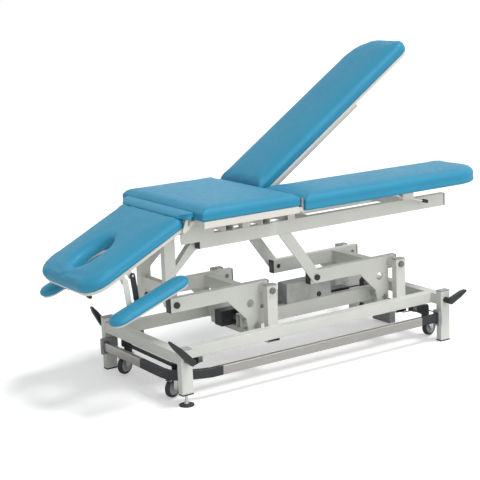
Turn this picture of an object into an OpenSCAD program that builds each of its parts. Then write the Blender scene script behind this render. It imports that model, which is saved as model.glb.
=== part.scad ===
// Electric treatment couch on a rectangular base with retractable castors and a parallelogram lift.
// The upper frame carries a tilting head section with drop armrests and two separate leg sections.
// Millimetres. X runs towards the foot end, Y away from the front, Z up from the floor.
// Drawn at half height, with the head section lowered and the rear leg section raised.

/* [Base] */
// half of the distance between the corner post centres along the couch
base_half_x = 669; // [500:1:800]
// half of the distance between the corner post centres across the couch
base_half_y = 312; // [220:1:380]
// post section along the couch
post_x = 50; // [30:1:80]
// post section across the couch
post_y = 30; // [20:1:60]
// height of the corner posts without their caps
post_top = 226; // [150:1:320]
// wall of all box tubes
wall = 2.5; // [1.5:0.1:4]
// side rail section
rail = 45; // [30:1:60]
// end rail width
end_w = 46; // [30:1:60]
// height of the rails' underside
rail_z = 166; // [120:1:220]
// middle of the side rails from the middle of the couch
side_rail_y = 240; // [180:1:300]
// thickness of the post caps
cap_t = 5; // [2:0.5:10]
// thickness of the rubber feet
foot_t = 6; // [3:0.5:12]
// underside of the short post over the levelling foot
short_post_z = 50; // [30:1:80]
// levelling disc diameter
disc_d = 60; // [40:1:90]
// cross member width
cross_w = 60; // [40:1:90]
// cross member height
cross_t = 25; // [15:1:40]

/* [Lift] */
// place of the left lift pivot along the couch
pivot_x = -181; // [-260:1:-100]
// distance between the two lift pivots
pivot_gap = 690; // [500:1:800]
// height of the lift pivots
pivot_z = 357; // [300:1:420]
// arm length from pivot to knee
arm_len = 417; // [320:1:500]
// arm tube height
arm_h = 58; // [40:1:80]
// arm tube width
arm_w = 30; // [20:1:50]
// outer face of the arms from the middle
arm_out = 150; // [110:1:190]
// pivot pin diameter
pin_d = 20; // [12:1:30]
// running clearance of pins in their bores
fit = 0.05; // [0.02:0.01:0.1]
// crank pin offset behind the pivot
crank_dx = 40; // [20:1:80]
// crank pin drop below the pivot
crank_dz = 153; // [100:1:180]
// tie bar height
tie_h = 60; // [40:1:80]
// tie bar front face from the middle
tie_y = 63; // [40:1:90]
// control box length
box_len = 239; // [150:1:300]
// control box height
box_h = 88; // [60:1:120]
// control box depth
box_d = 66; // [40:1:90]
// actuator middle line from the middle of the couch
act_y = 38; // [20:1:80]
// actuator rod diameter
rod_d = 20; // [12:1:30]

/* [Upper frame] */
// left end of the side tubes
tube_x0 = -481; // [-560:1:-400]
// right end of the side tubes
tube_x1 = 818; // [700:1:900]
// underside of the side tubes
tube_z = 569; // [500:1:640]
// side tube height
tube_h = 56; // [40:1:80]
// outer face of the side tubes from the middle
tube_out = 159; // [120:1:220]
// middle frame height
frame_h = 28; // [20:1:40]

/* [Pads] */
// width of the couch
couch_w = 650; // [500:1:800]
// left end of the middle pad
mid_x0 = -568; // [-640:1:-500]
// right end of the middle pad
mid_x1 = -90; // [-140:1:-40]
// underside of the middle pad
mid_z = 711; // [650:1:760]
// thickness of the middle and leg pads
pad_t = 58; // [40:1:80]
// rounding of the pads' upper edges
pad_r = 18; // [8:1:30]
// rise of the pads' middle over their edge
crown = 5; // [2:0.5:12]
// gap between the middle pad and the leg pads
pad_gap = 12; // [8:1:20]
// gap between the two leg pads
leg_gap = 10; // [4:1:20]
// length of the leg pads
leg_len = 1012; // [800:1:1200]
// how far the rear leg section is raised
leg_raise = 34; // [0:1:60]
// length of the head section from its hinge
head_len = 508; // [350:1:600]
// width of the head section
head_w = 472; // [350:1:600]
// head pad thickness
head_t = 50; // [35:1:70]
// how far the head section is lowered
head_drop = 26.5; // [0:0.5:30]
// length of the face hole
hole_len = 190; // [120:1:240]
// width of the face hole
hole_w = 112; // [80:1:160]
// board thickness under head and legs
board = 12; // [8:1:20]

/* [Armrests] */
// armrest pad length
rest_len = 362; // [250:1:420]
// armrest pad width
rest_w = 98; // [70:1:140]
// armrest pad thickness
rest_t = 34; // [25:1:50]
// armrest middle line from the middle of the couch
rest_y = 299; // [260:1:340]
// middle of the armrests along the couch
rest_x = -811; // [-900:1:-740]
// height of the middle of the armrests' upper face
rest_z = 464; // [400:1:520]
// slope of the armrests
rest_tilt = 20.3; // [0:0.5:30]
// distance between the pivots of an armrest link
link_len = 113; // [80:1:150]

/* [Castors] */
// castor wheel diameter
wheel_d = 78; // [50:1:100]
// castor wheel width
wheel_w = 24; // [16:1:36]
// how far the raised castors clear the floor
wheel_lift = 5; // [2:1:15]
// castor swivels along the couch
castor_x = 642; // [560:1:700]
// castor swivels across the couch, head end
castor_y_head = 195; // [150:1:210]
// castor swivels across the couch, foot end
castor_y_foot = 225; // [150:1:235]
// distance from swivel to wheel centre
trail = 26; // [15:1:40]
// pivot of the castor arms along the couch
swing_x = 560; // [500:1:600]
// pivot height of the castor arms
swing_z = 148; // [130:1:156]

/* [Foot bar and pedals] */
// foot bar height
bar_h = 38; // [25:1:50]
// foot bar depth
bar_t = 22; // [14:1:35]
// middle height of the foot bar
bar_z = 109; // [70:1:130]
// head run of the foot bar outside the middle of the corner posts
bar_out = 31; // [10:1:60]
// length of the front pedals at the head end
pedal_head = 132; // [80:1:160]
// length of the other pedals
pedal_foot = 94; // [60:1:140]
// pedal thickness
pedal_w = 18; // [10:1:30]

/* [Hidden] */
sides = [-1, 1];
paint = [0.87, 0.87, 0.84];
steel = [0.62, 0.63, 0.64];
black = [0.07, 0.07, 0.08];
grey = [0.35, 0.36, 0.37];
alu = [0.72, 0.72, 0.70];
blue = [0.20, 0.50, 0.68];
cream = [0.86, 0.84, 0.78];

// overrun of cuts, and the small gap between moving faces
over = 1;
gap = 0.3;
play = 2;

// base
cap_lip = 1;
cross_gap = 2;
cross_top = rail_z - cross_gap;
shaft_d = 16;
shaft_z = rail_z + rail / 2;
lift_post_out = side_rail_y - rail / 2;
lift_post_in = lift_post_out - post_y;
lift_post_mid = lift_post_out - post_y / 2;
lift_top = pivot_z + post_x * 0.4;
right_x = pivot_x + pivot_gap;
bolt_d = 26;
bolt_h = 9;
washer = 3;
stem_d = 12;
disc_t = 9;
nut_t = 8;

// lift
arm_mid = arm_out - arm_w / 2;
arm_in = arm_out - arm_w;
arm_past = 25;
knee_l = pivot_x - arm_len;
knee_r = right_x - arm_len;
crank_t = 8;
boss_d = 48;
plug_t = 6;
channel_w = 40;
channel_h = 50;
channel_dx = 95;
channel_drop = 4;
// outline of a crank plate: across the arm's underside and down to the crank pin
crank_w = 175;
crank_h = 182;
crank_shares = [[-1, 0], [-0.086, 0], [-0.086, -0.8], [-0.17, -0.83], [-0.445, -0.78], [-0.49, -0.49]];
crank_hole = 34;
crank_hole_shares = [-0.37, -0.31];
collar = 5;
tie_mid = tie_y - arm_w / 2;
tie_past = 22;
knob_d = 22;
act_x = right_x + 15;
act_z = pivot_z - crank_dz;
act_d = 45;
act_end = 400;
gear_l = 88;
gear_w = 54;
gear_h = 66;
motor_d = 40;
motor_l = 170;
gland_l = 100;
gland_w = 58;
bore_x = 140;
rod_in = 250;
eye_w = 24;
eye_d = 34;
clevis_t = 6;
clevis_l = 58;
clevis_h = 92;

// upper frame
leg_in = arm_in - play - arm_w;
leg_top = 620;
brace_in = arm_out + 1;
brace_top_x = 76;
brace_top_w = 62;
strut_low = 471;
strut_h = 33;
link_l = 31;
tray_z = 410;
tray_h = 50;
tube_mid = tube_out - arm_w / 2;
frame_z = mid_z - frame_h;
frame_in = 8;
frame_end = 14;
support_w = 40;
support_h = 28;
support_left = 51;
support_right = 226;
tie_left = 172;
tie_right = 158;
cheek_r = 63;
cheek_t = 5;
cheek_x = -508;
cheek_base = 20;
cheek_z = frame_z - cheek_r - gap;

// hinges
leg_hx = mid_x1 + pad_gap / 2;
hinge_up = 24;
leg_hz = mid_z + hinge_up;
leg_z = mid_z - 11;
head_hx = mid_x0 - 7;
head_hz = mid_z + hinge_up;
head_over = 12;
head_start = 16;
leg_start = pad_gap / 2;
right_end = leg_hx + leg_start + leg_len;
left_end = head_hx - head_len * cos(head_drop) + (pad_r + crown - head_over) * sin(head_drop)
    + pad_r * (cos(head_drop) - 1);
// the origin lies under the middle of the couch's outline
shift_x = -(left_end + right_end) / 2;
hinge_d = 6;
ear_t = 5;
ear_w = 10;
ear_low = 47;
arm_plate_t = 4;
leg_ear_in = 17;
leg_ear_outer = couch_w / 2 - leg_ear_in;
leg_ear_inner = 22;
head_ear_out = 6;
head_ear = head_w / 2 + head_ear_out;

// head section
head_r = 95;
head_root_r = 40;
hole_s = 347;
hole_lip = 9;
board_in = 8;
head_rail_y = 68;
head_rail = 24;
lug_s = 360;
lug_step = 36;
lug_drop = 12;
lug_r = 11;
link_y = 240;
link_t = 5;
link_pin = 8;
handle_s = 480;
handle_root = 452;
handle_drop = 14;
handle_eye = 14;
handle_pin = 6;
handle_y = -40;
handle_l = 180;
handle_d = 9;
grip_d = 14;

// leg sections
leg_board_in = 10;
leg_rail = 24;
leg_rail_y = [45, 105];
leg_rail_l = 640;
spring_y = tube_mid;
spring_a = [304, -66];
spring_b = [54, -82];
spring_d = 22;
spring_rod_d = 10;
spring_cyl = 150;
spring_reach = 235;
spring_bottom = 8;
spring_eye = 18;
spring_lug_t = 4;
lever_s = 644;
lever_drop = 90;
lever_y = 200;
lever_in = 122;
lever_out = 100;
lever_tilt = 16;
lever_d = 8;
lever_grip_d = 16;
lever_grip_l = 26;
lever_lug_w = 30;

// castors
wheel_r = wheel_d / 2;
wheel_z = wheel_r + wheel_lift;
fork_t = 3;
tab_tilt = 28;
fork_gap = 1.5;
fork_in = wheel_w / 2 + fork_gap;
fork_top = wheel_z + wheel_r + 10;
axle_d = 10;
king_d = 14;
hub_d = 34;
hub_top = swing_z - 8;
swing_y = 234;
swing_w = 22;
swing_l = castor_x - swing_x;
swing_h = 40;
swing_shares = [[-0.13, 0.15], [1.02, 0.15], [1.06, -0.5], [1.06, -1], [0.75, -1], [0.3, -0.5],
    [-0.05, -0.3]];
swing_pin = 10;
swing_bar = 16;
swing_lug_t = 5;
turn_head = 200;
turn_foot = 10;

// foot bar
bar_socket = 8;
bar_travel = 7;
bar_x = base_half_x + bar_out;
bar_front_y = base_half_y;
bar_far_y = 281;
bar_head_end = -24;
// middle line of the black corner piece
corner_shares = [[-1, -0.609], [-0.991, -0.721], [-0.966, -0.817], [-0.926, -0.888], [-0.879, -0.923],
    [-0.836, -0.962], [-0.786, -1]];
bar_lead = 169;
bar_boot = 129;
bar_front_start = -base_half_x + bar_lead;
bar_front_end = base_half_x - bar_boot;
pedal_y = 352;
pedal_shares = [[-0.11, -0.06], [-0.06, -0.105], [0.1, -0.1], [0.6, -0.085], [1, -0.035], [1, 0.02],
    [0.75, 0.07],
    [0.1, 0.1], [-0.05, 0.105], [-0.11, 0.06]];
pedal_h = 132;
rise_head = [134, 122];
rise_foot = 22;

// junction box under the foot end
jbox = [34, 124, 88];
jbox_at = [634, 12, 12];
cable_d = 5;
strap_w = 30;
strap_t = 5;

module place() {
    translate([shift_x, 0, 0]) children();
}

// box between two corners
module block(a, b) {
    translate(a) cube(b - a);
}

module mirrored() {
    children();
    mirror([0, 1, 0]) children();
}

// s is -1 for the front and 1 for the rear: the part is drawn for the front
module on_side(s) {
    if (s > 0) mirror([0, 1, 0]) children();
    else children();
}

// hollow box tubes, c is the middle of the section
module tube_x(x0, x1, c, w, h) {
    difference() {
        translate([x0, c[0] - w / 2, c[1] - h / 2]) cube([x1 - x0, w, h]);
        translate([x0 - over, c[0] - w / 2 + wall, c[1] - h / 2 + wall])
            cube([x1 - x0 + 2 * over, w - 2 * wall, h - 2 * wall]);
    }
}

module tube_y(y0, y1, c, w, h) {
    difference() {
        translate([c[0] - w / 2, y0, c[1] - h / 2]) cube([w, y1 - y0, h]);
        translate([c[0] - w / 2 + wall, y0 - over, c[1] - h / 2 + wall])
            cube([w - 2 * wall, y1 - y0 + 2 * over, h - 2 * wall]);
    }
}

module tube_z(z0, z1, c, w, d) {
    difference() {
        translate([c[0] - w / 2, c[1] - d / 2, z0]) cube([w, d, z1 - z0]);
        translate([c[0] - w / 2 + wall, c[1] - d / 2 + wall, z0 - over])
            cube([w - 2 * wall, d - 2 * wall, z1 - z0 + 2 * over]);
    }
}

// round bar along Y between y0 and y1 at p = [x, z]
module bar_y(p, y0, y1, d) {
    translate([p[0], y1, p[1]]) rotate([90, 0, 0]) cylinder(d = d, h = y1 - y0, $fn = 48);
}

// round bar along X at p = [y, z]
module bar_x(x0, x1, p, d) {
    translate([x0, p[0], p[1]]) rotate([0, 90, 0]) cylinder(d = d, h = x1 - x0, $fn = 48);
}

// plate in the X-Z plane, from y0 to y1
module plate_y(points, y0, y1) {
    translate([0, y1, 0]) rotate([90, 0, 0]) linear_extrude(y1 - y0) polygon(points);
}

// round rod between two points
module rod_between(a, b, d) {
    v = b - a;
    l = norm(v);
    translate(a) rotate([0, acos(v[2] / l), atan2(v[1], v[0])]) cylinder(d = d, h = l, $fn = 24);
}

function scaled(shares, w, h) = [for (p = shares) [p[0] * w, p[1] * h]];
function moved(points, p) = [for (q = points) q + p];

// a strip of width w along a bent middle line
function unit(v) = v / norm(v);
function edge(p, i) =
    let (n = len(p) - 1, a = unit(p[max(i, 1)] - p[max(i, 1) - 1]),
        b = unit(p[min(i + 1, n)] - p[min(i + 1, n) - 1]),
        m = unit([-(a + b)[1], (a + b)[0]]))
    m / (m * [-a[1], a[0]]);
function strip(p, w) = concat([for (i = [0:len(p) - 1]) p[i] + edge(p, i) * w / 2],
    [for (i = [len(p) - 1:-1:0]) p[i] - edge(p, i) * w / 2]);

// upholstered pad between x0..x1 and y0..y1: r holds the corner radii in plan from the left front corner,
// f0 and f1 slant the upper edges of the ends
corner_n = 7;
corner_x = [-1, 1, 1, -1];
corner_y = [-1, -1, 1, 1];
hem = 6;
waist = 2.5;
waist_share = 0.35;
edge_steps = [0, 22.5, 45, 67.5, 90];
crown_in = [25, 60];
crown_shares = [0.5, 0.15];
// most that the crown's rings may stand in, of half the pad's width
most_shares = [0.65, 0.85];
least_r = 2;

function ring(x0, x1, y0, y1, r, a0, a1, b, z) = [for (k = [0:3], i = [0:corner_n])
    let (rr = max(r[k] - b, least_r), a = 180 + 90 * k + 90 * i / corner_n, sx = corner_x[k],
        sy = corner_y[k])
    [(sx < 0 ? x0 + a0 + rr : x1 - a1 - rr) + rr * cos(a),
        (sy < 0 ? y0 : y1) - sy * (b + rr) + rr * sin(a), z]];

module cushion(x0, x1, y0, y1, r, z0, t, f0, f1) {
    side_top = z0 + t - crown - pad_r;
    reach = min(x1 - x0, y1 - y0) / 2;
    levels = concat([[hem, z0], [waist / 2, z0 + hem], [waist, z0 + t * waist_share], [0, side_top]],
        [for (a = edge_steps) if (a > 0) [pad_r * (1 - cos(a)), side_top + pad_r * sin(a)]],
        [for (i = [0, 1]) [min(pad_r + crown_in[i], reach * most_shares[i]),
            z0 + t - crown * crown_shares[i]]]);
    fold0 = [for (l = levels) max(l[0], l[0] / 2 + max(0, l[1] - z0 - t + f0))];
    fold1 = [for (l = levels) max(l[0], l[0] / 2 + max(0, l[1] - z0 - t + f1))];
    rings = [for (i = [0:len(levels) - 1])
        ring(x0, x1, y0, y1, r, fold0[i], fold1[i], levels[i][0], levels[i][1])];
    n = 4 * (corner_n + 1);
    m = len(levels);
    mid = [(x0 + x1) / 2, (y0 + y1) / 2];
    points = concat([for (g = rings) for (p = g) p], [[mid[0], mid[1], z0], [mid[0], mid[1], z0 + t]]);
    faces = concat(
        [for (j = [0:m - 2], i = [0:n - 1]) [j * n + i, (j + 1) * n + i, (j + 1) * n + (i + 1) % n]],
        [for (j = [0:m - 2], i = [0:n - 1]) [j * n + i, (j + 1) * n + (i + 1) % n, j * n + (i + 1) % n]],
        [for (i = [0:n - 1]) [m * n, i, (i + 1) % n]],
        [for (i = [0:n - 1]) [m * n + 1, (m - 1) * n + (i + 1) % n, (m - 1) * n + i]]);
    polyhedron(points, faces);
}

// corner posts on rubber feet, and the lift posts inside the side rails
module posts() {
    color(paint) place() {
        for (sx = sides, sy = sides)
            difference() {
                tube_z(sx < 0 && sy < 0 ? short_post_z : foot_t, post_top,
                    [sx * base_half_x, sy * base_half_y], post_x, post_y);
                bar_y([sx * base_half_x, shaft_z], sy * base_half_y - post_y, sy * base_half_y + post_y,
                    shaft_d + 2 * fit);
            }
        for (x = [pivot_x, right_x], sy = sides)
            difference() {
                tube_z(cross_top, lift_top, [x, sy * lift_post_mid], post_x, post_y);
                bar_y([x, pivot_z], sy * lift_post_mid - post_y, sy * lift_post_mid + post_y,
                    pin_d + 2 * fit);
            }
    }
}

module cap(x, y, z, t, lip) {
    translate([x - post_x / 2 - lip, y - post_y / 2 - lip, z]) cube([post_x + 2 * lip, post_y + 2 * lip,
        t]);
}

// plastic caps on the posts and rubber feet below them
module post_caps() {
    color(grey) place() {
        for (sx = sides, sy = sides) cap(sx * base_half_x, sy * base_half_y, post_top, cap_t, cap_lip);
        for (x = [pivot_x, right_x], sy = sides) cap(x, sy * lift_post_mid, lift_top, cap_t, 0);
        for (s = [[-1, 1], [1, -1], [1, 1]]) cap(s[0] * base_half_x, s[1] * base_half_y, 0, foot_t,
            cap_lip);
        difference() {
            cap(-base_half_x, -base_half_y, short_post_z - foot_t, foot_t, cap_lip);
            translate([-base_half_x, -base_half_y, 0]) cylinder(d = stem_d + 2 * fit, h = post_top,
                $fn = 48);
        }
    }
}

// screw foot under the short post
module levelling_foot() {
    base_t = disc_t * 0.6;
    color(black) place() translate([-base_half_x, -base_half_y, 0]) {
        cylinder(d = disc_d, h = base_t, $fn = 64);
        translate([0, 0, base_t]) cylinder(d1 = disc_d * 0.8, d2 = disc_d * 0.4, h = disc_t - base_t,
            $fn = 64);
        cylinder(d = stem_d, h = post_top / 2, $fn = 48);
        translate([0, 0, disc_t]) cylinder(d = stem_d * 1.7, h = nut_t, $fn = 6);
    }
}

// end rails between the corner posts and the flat members under the lift posts
module cross_rails() {
    color(paint) place() {
        for (sx = sides)
            tube_y(-base_half_y + post_y / 2, base_half_y - post_y / 2,
                [sx * base_half_x, rail_z + rail / 2], end_w, rail);
        for (x = [pivot_x, right_x])
            tube_y(-lift_post_out, lift_post_out, [x, cross_top - cross_t / 2], cross_w, cross_t);
    }
}

module side_rails() {
    color(paint) place()
        for (sy = sides)
            tube_x(-base_half_x + end_w / 2, base_half_x - end_w / 2,
                [sy * side_rail_y, rail_z + rail / 2], rail, rail);
}

// lift pivot pins, actuator anchor plates, castor arm lugs and the strap of the junction box
module base_pins() {
    color(steel) place() {
        mirrored() {
            for (x = [pivot_x, right_x]) {
                bar_y([x, pivot_z], -lift_post_out - bolt_h, -lift_post_out, bolt_d);
                bar_y([x, pivot_z], -lift_post_out, -arm_in, pin_d);
                bar_y([x, pivot_z], -lift_post_in, -lift_post_in + washer, boss_d);
            }
            for (sx = sides) {
                for (y = [-swing_y - swing_w / 2 - play - swing_lug_t, -swing_y + swing_w / 2 + play])
                    block([sx * swing_x - swing_pin, y, swing_z - swing_pin],
                        [sx * swing_x + swing_pin, y + swing_lug_t, rail_z]);
                bar_y([sx * swing_x, swing_z], -swing_y - swing_w / 2 - play - swing_lug_t - washer,
                    -swing_y + swing_w / 2 + play + swing_lug_t + washer, swing_pin);
            }
        }
        for (y = [act_y - eye_w / 2 - play - clevis_t, act_y + eye_w / 2 + play])
            difference() {
                block([act_x - clevis_l / 2, y, cross_top],
                    [act_x + clevis_l / 2, y + clevis_t, cross_top + clevis_h]);
                for (s = sides) translate([act_x + s * clevis_l / 2, y - over,
                    cross_top + clevis_h]) rotate([0, 45, 0])
                    cube([clevis_l / 2, 4 * clevis_t, clevis_l / 2], center = true);
            }
        translate([jbox_at[0] + jbox[0] * 0.65, jbox_at[1] + (jbox[1] - strap_w) / 2, jbox_at[2] + jbox[2]])
            cube([strap_t, strap_w, rail_z - jbox_at[2] - jbox[2]]);
    }
}

// junction box, its cable and the sockets that hold the foot bar
module base_fittings() {
    run = [[jbox_at[0] + jbox[0] / 2, jbox_at[1] + cable_d, 70], [660, -60, 78], [678, -150, 108],
        [684, -235, 112],
        [672, -base_half_y + post_y / 2, 112]];
    color(grey) place() {
        translate(jbox_at) cube(jbox);
        for (i = [0:len(run) - 2]) rod_between(run[i], run[i + 1], cable_d);
        for (i = [1:len(run) - 2]) translate(run[i]) sphere(d = cable_d * 1.2, $fn = 24);
        difference() {
            block([-bar_x - bar_t / 2 - bar_socket, bar_far_y, bar_z - bar_h / 2 - bar_travel - bar_socket],
                [-base_half_x + post_x / 2, base_half_y - post_y / 2,
                    bar_z + bar_h / 2 + bar_travel + bar_socket]);
            block([-bar_x - bar_t / 2 - gap, bar_far_y - over, bar_z - bar_h / 2 - bar_travel],
                [-bar_x + bar_t / 2 + gap, bar_far_y + bar_socket, bar_z + bar_h / 2 + bar_travel]);
        }
        difference() {
            block([base_half_x - post_x / 2 - 2 * bar_socket, -bar_front_y - bar_t / 2 - bar_socket,
                bar_z - bar_h / 2 - bar_travel - bar_socket], [base_half_x - post_x / 2,
                -bar_front_y + bar_t / 2 + bar_socket, bar_z + bar_h / 2 + bar_travel + bar_socket]);
            block([base_half_x - post_x / 2 - 3 * bar_socket, -bar_front_y - bar_t / 2 - gap,
                bar_z - bar_h / 2 - bar_travel], [base_half_x - post_x / 2 - bar_socket,
                -bar_front_y + bar_t / 2 + gap, bar_z + bar_h / 2 + bar_travel]);
        }
    }
}

// aluminium runs of the foot bar
module foot_bar_rails() {
    c = bar_z - bar_h / 2;
    color(alu) place() {
        block([-bar_x - bar_t / 2, bar_head_end, c],
            [-bar_x + bar_t / 2, bar_far_y + bar_socket - play, c + bar_h]);
        block([bar_front_start, -bar_front_y - bar_t / 2, c],
            [bar_front_end, -bar_front_y + bar_t / 2, c + bar_h]);
    }
}

// black corner piece that leads the bar inside the short post, and the end boot
module foot_bar_ends() {
    c = bar_z - bar_h / 2;
    path = concat([[-bar_x, bar_head_end]], scaled(corner_shares, bar_x, bar_front_y),
        [[bar_front_start, -bar_front_y]]);
    color(black) place() {
        translate([0, 0, c]) linear_extrude(bar_h) polygon(strip(path, bar_t));
        block([bar_front_end, -bar_front_y - bar_t / 2, c],
            [base_half_x - post_x / 2 - bar_socket - play, -bar_front_y + bar_t / 2, c + bar_h]);
    }
}

// tapered pedal of length l that rises by angle a from the shaft
module pedal(l, a) {
    rotate([0, -a, 0]) rotate([90, 0, 0]) linear_extrude(pedal_w) polygon(scaled(pedal_shares, l, pedal_h));
}

// shaft through the end rail with a pedal outside each post
module pedal_set(x, front_l, front_a, rear_l, rear_a) {
    translate([x, 0, shaft_z]) {
        bar_y([0, 0], -pedal_y - pedal_w, pedal_y + pedal_w, shaft_d);
        translate([0, -pedal_y, 0]) pedal(front_l, front_a);
        translate([0, pedal_y + pedal_w, 0]) pedal(rear_l, rear_a);
        mirrored() bar_y([0, 0], -pedal_y - over, -base_half_y - post_y / 2 - play, bolt_d);
    }
}

module pedals_head() {
    color(black) place() pedal_set(-base_half_x, pedal_head, rise_head[0], pedal_foot, rise_head[1]);
}

module pedals_foot() {
    color(black) place() pedal_set(base_half_x, pedal_foot, rise_foot, pedal_foot, rise_foot);
}

// a pair of swing arms with their cross bar and the castor swivel housings, s = -1 at the head end
module swing_arms(s, castor_y) {
    difference() {
        union() {
            for (y = sides)
                plate_y(moved([for (p = scaled(swing_shares, swing_l, swing_h)) [s * p[0], p[1]]],
                    [s * swing_x, swing_z]),
                    y * swing_y - swing_w / 2, y * swing_y + swing_w / 2);
            bar_y([s * castor_x, hub_top - swing_bar], -swing_y, swing_y, swing_bar);
            for (y = sides) translate([s * castor_x, y * castor_y, fork_top + play])
                cylinder(d = hub_d, h = hub_top - fork_top - play, $fn = 48);
        }
        for (y = sides) {
            translate([s * castor_x, y * castor_y, fork_top]) cylinder(d = king_d + 2 * fit, h = hub_top,
                $fn = 48);
            bar_y([s * swing_x, swing_z], y * swing_y - swing_w, y * swing_y + swing_w,
                swing_pin + 2 * fit);
        }
    }
}

module castor_arms_head() {
    color(black) place() swing_arms(-1, castor_y_head);
}

module castor_arms_foot() {
    color(black) place() swing_arms(1, castor_y_foot);
}

// castor fork, swivel axis at the origin, wheel towards +X
fork_shares = [[-0.7, 1], [1.3, 1], [1.42, 0.08], [1.2, -0.14], [0.8, -0.14], [0.5, 0.1]];
fork_h = fork_top - wheel_z;

module fork() {
    difference() {
        union() {
            for (s = sides)
                plate_y(moved(scaled(fork_shares, trail, fork_h), [0, wheel_z]),
                    s * (fork_in + fork_t / 2) - fork_t / 2,
                    s * (fork_in + fork_t / 2) + fork_t / 2);
            block([-trail * 0.7, -fork_in - fork_t, fork_top - fork_t * 2],
                [trail * 1.3, fork_in + fork_t, fork_top]);
            translate([trail * 1.2, -fork_in, fork_top - fork_t * 2]) rotate([0, tab_tilt, 0])
                cube([trail * 0.9, 2 * fork_in, fork_t]);
        }
        bar_y([trail, wheel_z], -wheel_w, wheel_w, axle_d - over);
    }
    bar_y([trail, wheel_z], -fork_in - fork_t - play, fork_in + fork_t + play, axle_d);
    translate([0, 0, fork_top - over]) cylinder(d = king_d, h = hub_top - fork_top + over, $fn = 48);
}

// grey wheel disc with its tyre, raised at the hub
module wheel() {
    h = wheel_w / 2;
    translate([trail, 0, wheel_z]) rotate([90, 0, 0])
        rotate_extrude($fn = 60) polygon([[axle_d / 2 + fit, -h], [wheel_r * 0.3, -h],
            [wheel_r * 0.35, -h * 0.6],
            [wheel_r * 0.7, -h * 0.6], [wheel_r * 0.75, -h * 0.9], [wheel_r * 0.95, -h * 0.8],
                [wheel_r, -h * 0.4],
            [wheel_r, h * 0.4], [wheel_r * 0.95, h * 0.8], [wheel_r * 0.75, h * 0.9],
                [wheel_r * 0.7, h * 0.6],
            [wheel_r * 0.35, h * 0.6], [wheel_r * 0.3, h], [axle_d / 2 + fit, h]]);
}

module at_castor(sx, sy) {
    place() translate([sx * castor_x, sy * (sx < 0 ? castor_y_head : castor_y_foot), 0])
        rotate([0, 0, sx < 0 ? turn_head : turn_foot]) children();
}

module castor_fork_head_front() { color(steel) at_castor(-1, -1) fork(); }
module castor_fork_head_rear() { color(steel) at_castor(-1, 1) fork(); }
module castor_fork_foot_front() { color(steel) at_castor(1, -1) fork(); }
module castor_fork_foot_rear() { color(steel) at_castor(1, 1) fork(); }
module castor_wheel_head_front() { color(grey) at_castor(-1, -1) wheel(); }
module castor_wheel_head_rear() { color(grey) at_castor(-1, 1) wheel(); }
module castor_wheel_foot_front() { color(grey) at_castor(1, -1) wheel(); }
module castor_wheel_foot_rear() { color(grey) at_castor(1, 1) wheel(); }

// pair of lift arms on the pivot at x
module arms(x) {
    for (s = sides)
        difference() {
            tube_x(x - arm_len - arm_past, x + arm_past, [s * arm_mid, pivot_z], arm_w, arm_h);
            for (dx = [0, -arm_len]) bar_y([x + dx, pivot_z], s * arm_mid - arm_w, s * arm_mid + arm_w,
                pin_d + 2 * fit);
        }
}

// crank plates under the arms, pivot bosses outside them and the cross tube between them
module fittings(x) {
    mirrored() {
        difference() {
            plate_y(moved(scaled(crank_shares, crank_w, crank_h), [x, pivot_z - arm_h / 2]), -arm_out,
                -arm_out + crank_t);
            bar_y([x - crank_dx, pivot_z - crank_dz], -arm_out - over, -arm_out + crank_t + over,
                pin_d + 2 * fit);
            bar_y([x + crank_w * crank_hole_shares[0], pivot_z + crank_h * crank_hole_shares[1]],
                -arm_out - over,
                -arm_out + crank_t + over, crank_hole);
        }
        difference() {
            bar_y([x, pivot_z], -lift_post_in + washer + gap, -arm_out, boss_d);
            bar_y([x, pivot_z], -lift_post_out, 0, pin_d + 2 * fit);
        }
    }
    tube_y(-arm_in, arm_in, [x - channel_dx, pivot_z + arm_h / 2 - channel_h / 2 - channel_drop],
        channel_w, channel_h);
}

// end plugs of the arms, and knee bolts that reach from y1 to y0
module arm_ends(x, y0, y1) {
    for (s = sides, e = [x - arm_len - arm_past - plug_t, x + arm_past])
        translate([e, s * arm_mid - arm_w / 2, pivot_z - arm_h / 2]) cube([plug_t, arm_w, arm_h]);
    mirrored() {
        bar_y([x - arm_len, pivot_z], -y1, -y0, pin_d);
        bar_y([x - arm_len, pivot_z], -y1 - bolt_h, -y1, bolt_d);
    }
}

module left_arms() { color(paint) place() arms(pivot_x); }
module left_arm_fittings() { color(paint) place() fittings(pivot_x); }
module left_arm_ends() { color(black) place() arm_ends(pivot_x, leg_in, arm_out); }
module right_arms() { color(paint) place() arms(right_x); }
module right_arm_fittings() { color(paint) place() fittings(right_x); }
module right_arm_ends() { color(black) place() arm_ends(right_x, arm_in, tube_out); }

// tie bar between the two pairs of cranks
module tie_bar() {
    color(paint) place() difference() {
        tube_x(pivot_x - crank_dx - tie_past, right_x - crank_dx + tie_past, [-tie_mid, act_z], arm_w,
            tie_h);
        for (x = [pivot_x, right_x]) bar_y([x - crank_dx, act_z], -tie_y - over, 0, pin_d + 2 * fit);
    }
}

// rods of the tie bar that turn in the crank plates
module tie_rods() {
    left = pivot_x - crank_dx;
    right = right_x - crank_dx;
    color(steel) place() {
        bar_y([left, act_z], -arm_out - collar, arm_out + collar, pin_d);
        bar_y([right, act_z], -arm_out - collar, -tie_y + arm_w + collar, pin_d);
        for (y = [-arm_out - collar, arm_out + gap]) bar_y([left, act_z], y, y + collar - gap, bolt_d);
        bar_y([right, act_z], -arm_out - collar, -arm_out - gap, bolt_d);
        bar_y([right, act_z], -tie_y + arm_w, -tie_y + arm_w + collar, bolt_d);
    }
}

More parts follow.
